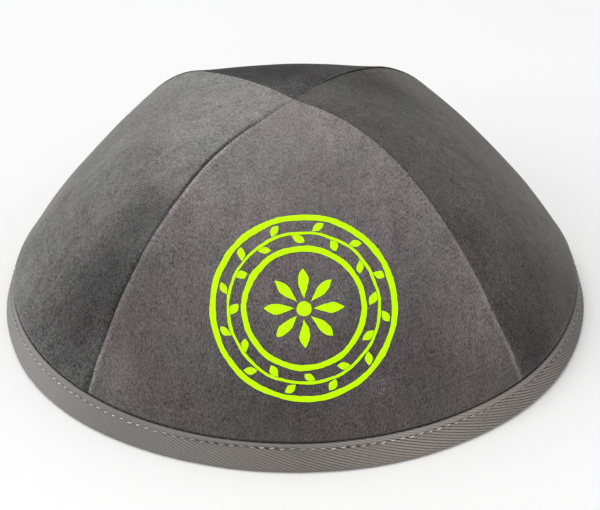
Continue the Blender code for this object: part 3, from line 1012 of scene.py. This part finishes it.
def twillMaterial():
    kit = twillFinish
    bench = Bench("twill_tape", kit["uniform"])
    perMm = tape["mapLength"] / mm
    cut = bench.scaled(bench.map("cut"), (perMm, perMm, 1.0))
    run = bench.node("ShaderNodeSeparateXYZ", {}, {"Vector": cut}, 0)
    turn = run * (fullTurn / kit["weftPitch"])
    weft = bench.node("ShaderNodeMath", {"operation": "SINE"}, {0: turn})
    fibre = bench.noise(cut, *kit["fibreNoise"])
    worn = bench.noise(cut, *kit["wearNoise"])
    edge, paintedLight = bench.value("edge"), bench.value("paintedLight")
    # Towards the groove colour between the ribs: painted shade, whose strength follows the worn noise.
    ribs = (bench.value("rib") - kit["ribMiddle"]) * bench.ramp(worn, *kit["ribWear"])
    shade = kit["shadeMiddle"] + ribs + (fibre - kit["noiseMiddle"]) * kit["fibre"]
    shade = shade + (worn - kit["noiseMiddle"]) * kit["wear"] + weft * kit["weft"]
    hem = bench.ramp(edge, *kit["hemReach"])
    shade = shade + hem * (kit["hemShade"] - shade) * kit["hemLevel"]
    # Lighter and evener where the tape is painted lit: painted light.
    level = paintedLight * kit["paintedLightLevel"] + bench.value("even")
    shade = shade + level * (kit["paintedLightShade"] - shade)
    shade = shade * bench.ramp(edge, *kit["edgeShade"])
    # Needle holes are darkened: painted shade.
    shade = shade - bench.ramp(worn, *kit["holeWear"]) * bench.value("hole")
    cloth = bench.blend(paintedLight, bench.blend(hem, kit["rib"], kit["hem"]), kit["paintedLightRib"])
    toned = {0: cloth, "Scale": bench.value("tone")}
    cloth = bench.node("ShaderNodeVectorMath", {"operation": "SCALE"}, toned)
    colour = bench.blend(shade, kit["groove"], cloth)
    return bench.dress(kit, colour, fibre, weft * kit["weftBump"] + fibre)


binding, tapeWidth = foldTape()
finish(binding, "rim_binding", twillMaterial())
print("tape folded, its cut is", round(tapeWidth / mm, 1), "mm wide")


# One stitch, bent down into its two holes, with its length along X and its outward side up.
def makeStitch():
    length = stitchLength * stitch["coverShare"]
    clearSelection()
    bpy.ops.mesh.primitive_cylinder_add(
        vertices=stitch["sides"],
        radius=stitch["threadRadius"],
        depth=length,
        end_fill_type="TRIFAN",
        rotation=(0, quarterTurn, 0),
    )
    one = newest("stitch")
    bpy.ops.object.transform_apply(location=False, rotation=True, scale=False)
    mesh = one.data
    bpy.ops.object.mode_set(mode="EDIT")
    bpy.ops.mesh.select_mode(type="EDGE")
    bpy.ops.mesh.select_all(action="DESELECT")
    bpy.ops.object.mode_set(mode="OBJECT")
    for edge in mesh.edges:
        a, b = (mesh.vertices[i].co for i in edge.vertices)
        edge.select = abs(a.x - b.x) > length / 2
    bpy.ops.object.mode_set(mode="EDIT")
    bpy.ops.mesh.subdivide(number_cuts=stitch["cuts"])
    bpy.ops.mesh.select_mode(type="VERT")
    bpy.ops.object.mode_set(mode="OBJECT")
    places = placesOf(one)
    nearEnd = (2 * places[:, 0] / length) ** stitch["bluntness"]
    slim = np.sqrt(np.clip(1 - stitch["taper"] * nearEnd, 0, 1))
    places[:, 1:] *= slim[:, None]
    places[:, 2] += stitch["lift"] - (stitch["lift"] + stitch["dive"]) * nearEnd
    movePlaces(one, places)
    smoothShade(one, stitch["smoothAngle"])
    return one


def sewTape():
    one = makeStitch()
    copies = []
    up = cap["tapeCover"] - tape["stitchDown"]
    sink = tape["stitchGroove"] - stitch["threadRadius"] * stitch["sunk"]
    tangent = Vector((0, 1, 0))
    for depth, flip in ((0.0, 1), (tape["innerDepth"] + cap["tapeThickness"], -1)):
        reach, height = wallSpot(up, depth + flip * sink)
        spot = Vector((float(reach), 0, float(height)))
        out = Vector((float(along("outReach", up)), 0, float(along("outHeight", up)))) * flip
        upward = out.cross(tangent)
        for k in range(stitch["count"]):
            turn = Matrix.Rotation(fullTurn * k / stitch["count"], 4, "Z")
            # Three uneven runs that don't repeat round the ring: slant, length and place.
            slanting, longer, higher = (math.sin(k * step + 1) for step in stitch["unevenSteps"])
            slant = Matrix.Rotation(stitch["tilt"] * (1 + stitch["unevenTilt"] * slanting), 3, out)
            basis = Matrix((slant @ tangent, slant @ upward, out)).transposed().to_4x4()
            rise = roundTheCap(np.array(turn @ spot)[None], stitch["rise"])[0] * mm
            basis.translation = spot + upward * (higher * stitch["unevenPlace"] + rise)
            length = Matrix.Diagonal((1 + stitch["unevenLength"] * longer, 1, 1, 1))
            copies.append(placedCopy(one, turn @ basis @ length))
    bpy.data.objects.remove(one)
    stitches = joinPieces("binding_stitches", copies)
    movePlaces(stitches, flareRim(placesOf(stitches)))
    keepValues(stitches, {"threadLightness": roundTheCap(placesOf(stitches), stitch["threadLightness"])})
    return stitches


threadFinish = {
    "uniform": {"Specular IOR Level": 0.4, "Sheen Weight": 0.1, "Sheen Roughness": 0.4},
    "pale": (0.800, 0.785, 0.755),
    "dullShare": 0.36,
    "plyNoise": ((2600.0, 2600.0, 2600.0), 2.0),
    "patchNoise": ((330.0, 330.0, 330.0), 1.0),
    "patches": (0.30, 0.60, 0.50, 1.0),
    "plies": (0.35, 0.60, 0.5, 1.0),
    "roughness": (0.45, 0.2),
    "bump": (0.4, 0.05 * mm),
}


def threadMaterial():
    kit = threadFinish
    bench = Bench("stitch_thread", kit["uniform"])
    place = bench.node("ShaderNodeTexCoord", {}, {}, "Object")
    ply = bench.noise(place, *kit["plyNoise"])
    patches = bench.ramp(bench.noise(place, *kit["patchNoise"]), *kit["patches"])
    threadLightness = bench.value("threadLightness") * patches * bench.ramp(ply, *kit["plies"])
    dull = tuple(kit["dullShare"] * c for c in kit["pale"])
    return bench.dress(kit, bench.blend(threadLightness, dull, kit["pale"]), ply, ply)


stitches = sewTape()
finish(stitches, None, threadMaterial())
print("binding sewn with", stitch["count"], "stitches a side")


# Medallion of transfer film
film = {
    "centreUp": 45.5 * mm,
    "lift": 0.05 * mm,
    "thickness": 0.14 * mm,
    "outerRadius": 26.0 * mm,
    "outerLine": 1.62 * mm,
    "innerRadius": 17.2 * mm,
    "innerLine": 1.58 * mm,
    "ringSpacing": 0.33 * mm,
    "pull": 0.65 * mm,
    "shakes": [  # its sway, its ragged line and its nicks: size and depth
        (5.0 * mm, 0.30 * mm), (1.2 * mm, 0.10 * mm), (0.40 * mm, 0.06 * mm),
    ],
    "shakePlaces": (31.0, 47.0),
    "cutSpacing": 1.3 * mm,
    "levelSteps": 181,
    "smoothAngle": 40,
}

wreath = {
    "leaves": 24,
    "stemLine": 0.8 * mm,
    "clearance": 0.65 * mm,
    "stemGap": 0.15 * mm,
    "lean": math.radians(38),
    "leafWidth": 2.1 * mm,
    "leafShort": 0.2 * mm,
    "leafStretch": 1.05,
    "belly": 0.55,
    "bend": 0.18,
    "outline": 26,
}

rosette = {
    "petals": 8,
    "radius": 11.0 * mm,
    "hubRadius": 2.0 * mm,
    "petalStart": 2.6 * mm,
    "petalWidth": 2.8 * mm,
    "belly": 0.60,
    "outline": 40,
    "hubOutline": 48,
}


# Where spots of the flat film come to lie, measured along the front panel from the medallion's middle.
def filmSpots(flat):
    shares = np.linspace(-1, 1, film["levelSteps"])
    spots, ups = [], []
    for across, rise, lift in flat:
        up = film["centreUp"] + rise
        level = panelSpot(np.full_like(shares, up), 0 * shares, shares, 1)
        length = runAlong(level[:, 0], level[:, 1])
        spots.append(np.interp(across, length - length[len(shares) // 2], shares))
        ups.append(up)
    share, up = np.array(spots), np.array(ups)
    out = reliefAt(panelSpot(up, 0 * up, share, 1), up) + film["lift"] + flat[:, 2]
    return panelSpot(up, -out, share, 1)


# The print was pulled a little out of round with its panel, and its edges are rough.
def raggedEdges(flat):
    reach = np.hypot(flat[:, 0], flat[:, 1])
    heading = np.arctan2(flat[:, 0], flat[:, 1])
    pull = film["pull"] * np.cos(3 * heading) * (reach / film["outerRadius"]) ** 2
    flat = flat * (1 + pull / np.maximum(reach, 1 * mm))[:, None]
    # The noise also changes with the reach, so that a ring's two edges stray apart and its line swells.
    spots = np.stack([flat[:, 0], flat[:, 1], 2 * reach], axis=1)
    for size, depth in film["shakes"]:
        shake = [noiseAt(spots, size, place) for place in film["shakePlaces"]]
        flat = flat + depth * np.stack([*shake, 0 * reach], axis=1)
    return flat


# Cuts the flat film into small faces, so that it follows the panel's curve.
def diceFlat(piece, reach):
    choose(piece)
    bpy.ops.object.mode_set(mode="EDIT")
    for normal in ((1, 0, 0), (0, 1, 0)):
        for step in np.arange(-reach, reach, film["cutSpacing"]):
            place = [step * n for n in normal]
            bpy.ops.mesh.select_all(action="SELECT")
            bpy.ops.mesh.bisect(plane_co=place, plane_no=normal, threshold=0.01 * mm)
    bpy.ops.object.mode_set(mode="OBJECT")


def layFilm(piece, dice):
    if dice:
        diceFlat(piece, film["outerRadius"])
    editAll(piece, bpy.ops.mesh.normals_make_consistent, inside=False)
    if sum(face.normal.z for face in piece.data.polygons) < 0:
        piece.data.flip_normals()
    movePlaces(piece, raggedEdges(placesOf(piece)))
    apply(piece, "SOLIDIFY", {"thickness": film["thickness"], "offset": 1})
    movePlaces(piece, filmSpots(placesOf(piece)))
    smoothShade(piece, film["smoothAngle"])
    return piece


def flatRing(name, radius, line):
    clearSelection()
    count = int(fullTurn * radius / film["ringSpacing"])
    bpy.ops.mesh.primitive_circle_add(vertices=count, radius=radius, fill_type="NOTHING")
    ring = newest(name)
    bpy.ops.object.mode_set(mode="EDIT")
    bpy.ops.mesh.select_all(action="SELECT")
    share = (radius - line) / radius
    bpy.ops.mesh.extrude_edges_move()
    bpy.ops.transform.resize(value=(share, share, 1))
    bpy.ops.object.mode_set(mode="OBJECT")
    return ring


# A pointed oval along X, from its base at the origin.
def flatLeaf(name, length, width, outline, belly, bend=0.0):
    clearSelection()
    bpy.ops.mesh.primitive_circle_add(vertices=outline, radius=length / 2, fill_type="NGON")
    leaf = newest(name)
    turn = fullTurn * np.arange(outline) / outline
    share = (1 - np.cos(turn)) / 2
    half = width / 2 * np.sin(math.pi * share ** (math.log(0.5) / math.log(belly))) ** 0.9
    sideways = np.sign(np.sin(turn) + 1e-9) * half + bend * length * share * (1 - share)
    sideways = np.where((share < 1e-6) | (share > 1 - 1e-6), 0.0, sideways)
    movePlaces(leaf, np.stack([share * length, sideways, 0 * share], axis=1))
    return leaf


def flatWreath():
    innerEdge = film["innerRadius"] + wreath["clearance"]
    outerEdge = film["outerRadius"] - film["outerLine"] - wreath["clearance"]
    stemOuter = (innerEdge + outerEdge + wreath["stemLine"]) / 2
    stemInner = stemOuter - wreath["stemLine"]
    parts = [flatRing("stem", stemOuter, wreath["stemLine"])]
    for inward in (0, 1):
        start = stemInner - wreath["stemGap"] if inward else stemOuter + wreath["stemGap"]
        room = start - innerEdge if inward else outerEdge - start
        lean = wreath["lean"]
        length = (room - wreath["leafShort"]) / math.sin(lean) * wreath["leafStretch"]
        leaf = flatLeaf(
            "leaf", length, wreath["leafWidth"], wreath["outline"], wreath["belly"], wreath["bend"]
        )
        for k in range(inward, wreath["leaves"], 2):
            # Clockwise round the ring from its top, and each leaf leans on along it.
            root = (2 * k + 1) * math.pi / wreath["leaves"]
            heading = -root + (-lean if inward else lean)
            place = Vector((start * math.sin(root), start * math.cos(root), 0))
            step = Matrix.Translation(place) @ Matrix.Rotation(heading, 4, "Z")
            parts.append(placedCopy(leaf, step))
        bpy.data.objects.remove(leaf)
    return joinPieces("wreath_film", parts)


def flatRosette():
    clearSelection()
    hubOutline = rosette["hubOutline"]
    bpy.ops.mesh.primitive_circle_add(vertices=hubOutline, radius=rosette["hubRadius"], fill_type="NGON")
    parts = [newest("hub")]
    length = rosette["radius"] - rosette["petalStart"]
    petal = flatLeaf("petal", length, rosette["petalWidth"], rosette["outline"], rosette["belly"])
    for k in range(rosette["petals"]):
        turn = Matrix.Rotation(fullTurn * k / rosette["petals"] + quarterTurn, 4, "Z")
        parts.append(placedCopy(petal, turn @ Matrix.Translation((rosette["petalStart"], 0, 0))))
    bpy.data.objects.remove(petal)
    return joinPieces("rosette_film", parts)


filmFinish = {
    "uniform": {"Specular IOR Level": 0.08, "Emission Strength": 0.10},
    "green": (0.520, 0.925, 0.001),
    "thin": (0.430, 0.760, 0.004),
    "napNoise": ((2200.0, 2200.0, 2200.0), 3.0, 0.6),
    "thinNoise": ((900.0, 900.0, 900.0), 3.0, 0.7),
    "thinSpots": (0.60, 0.74),
    "thinShare": 0.5,
    "roughness": (0.42, 0.2),
    "bump": (0.25, 0.06 * mm),
}


def filmMaterial():
    kit = filmFinish
    bench = Bench("transfer_film", kit["uniform"])
    place = bench.node("ShaderNodeTexCoord", {}, {}, "Object")
    nap = bench.noise(place, *kit["napNoise"])
    thin = bench.ramp(bench.noise(place, *kit["thinNoise"]), *kit["thinSpots"])
    colour = bench.blend(thin * kit["thinShare"], kit["green"], kit["thin"])
    # The film also glows faintly in its own colour: painted light, standing in for its fluorescent ink.
    return bench.dress(kit, colour, nap, nap, glow=colour)


filmGreen = filmMaterial()
filmPieces = (
    (flatRing("outer_ring_film", film["outerRadius"], film["outerLine"]), "print_outer_ring", False),
    (flatWreath(), "print_wreath", True),
    (flatRing("inner_ring_film", film["innerRadius"], film["innerLine"]), "print_inner_ring", False),
    (flatRosette(), "print_rosette", True),
)
for piece, node, dice in filmPieces:
    finish(layFilm(piece, dice), node, filmGreen)
print("medallion pressed on")


# Studio: a pale floor and soft light
studio = {
    "floorRadius": 3.0,
    "floor": (0.955, 0.955, 0.955),
    "sky": 0.66,
    "aim": (0, 0, 0.03),
    "lights": {
        "overhead": {"place": (-0.25, -0.10, 1.10), "size": 0.9, "watts": 4.2},
        "leftKey": {"place": (-0.95, -0.55, 0.75), "size": 0.7, "watts": 3.0},
        "rightFill": {"place": (1.00, -0.60, 0.50), "size": 0.8, "watts": 0.8},
    },
}


def makeStudio():
    clearSelection()
    bpy.ops.mesh.primitive_circle_add(vertices=96, radius=studio["floorRadius"], fill_type="NGON")
    floor = newest("studio_floor")
    bench = Bench("pale_floor", {"Roughness": 0.9, "Specular IOR Level": 0.1})
    floor.data.materials.append(bench.feed(colour=opaque(studio["floor"])))
    world = bpy.data.worlds.new("soft_sky")
    world.use_nodes = True
    sky = world.node_tree.nodes["Background"]
    sky.inputs["Color"].default_value = opaque((1.0, 1.0, 1.0))
    sky.inputs["Strength"].default_value = studio["sky"]
    bpy.context.scene.world = world
    for name, light in studio["lights"].items():
        clearSelection()
        aim = Vector(studio["aim"]) - Vector(light["place"])
        turn = aim.to_track_quat("-Z", "Y").to_euler()
        bpy.ops.object.light_add(type="AREA", location=light["place"], rotation=turn)
        lamp = bpy.context.object
        lamp.name = name
        lamp.data.shape = "DISK"
        lamp.data.size = light["size"]
        lamp.data.energy = light["watts"]
    bpy.context.scene.view_settings.view_transform = "Standard"
    print("studio lit")


# The photograph's own view, fitted to the cap's outline and seams in its 600 by 510 pixels
photo = {
    "width": 600.0,
    "height": 510.0,
    "elevation": math.radians(31.82),
    "turn": math.radians(-2.18),
    "roll": math.radians(-0.33),
    "distance": 0.770,
    "aimHeight": 0.035,
    "focalPixels": 2625.0,
    "aimPixel": (294.66, 197.67),
    "sensor": 36.0,
}


def makeCamera():
    lens = bpy.data.cameras.new("photo_view")
    camera = bpy.data.objects.new("photo_view", lens)
    bpy.context.scene.collection.objects.link(camera)
    lens.sensor_width = photo["sensor"]
    lens.sensor_fit = "HORIZONTAL"
    lens.lens = photo["focalPixels"] / photo["width"] * photo["sensor"]
    lens.shift_x = (photo["width"] / 2 - photo["aimPixel"][0]) / photo["width"]
    lens.shift_y = (photo["aimPixel"][1] - photo["height"] / 2) / photo["width"]
    lens.clip_start = 0.01
    turn = Matrix.Rotation(photo["turn"], 4, "Z")
    tilt = Matrix.Rotation(quarterTurn - photo["elevation"], 4, "X")
    back = Matrix.Translation((0, 0, photo["distance"]))
    aim = Matrix.Translation((0, 0, photo["aimHeight"]))
    camera.matrix_world = aim @ turn @ tilt @ back @ Matrix.Rotation(photo["roll"], 4, "Z")
    bpy.context.scene.camera = camera


makeStudio()
makeCamera()
clearSelection()
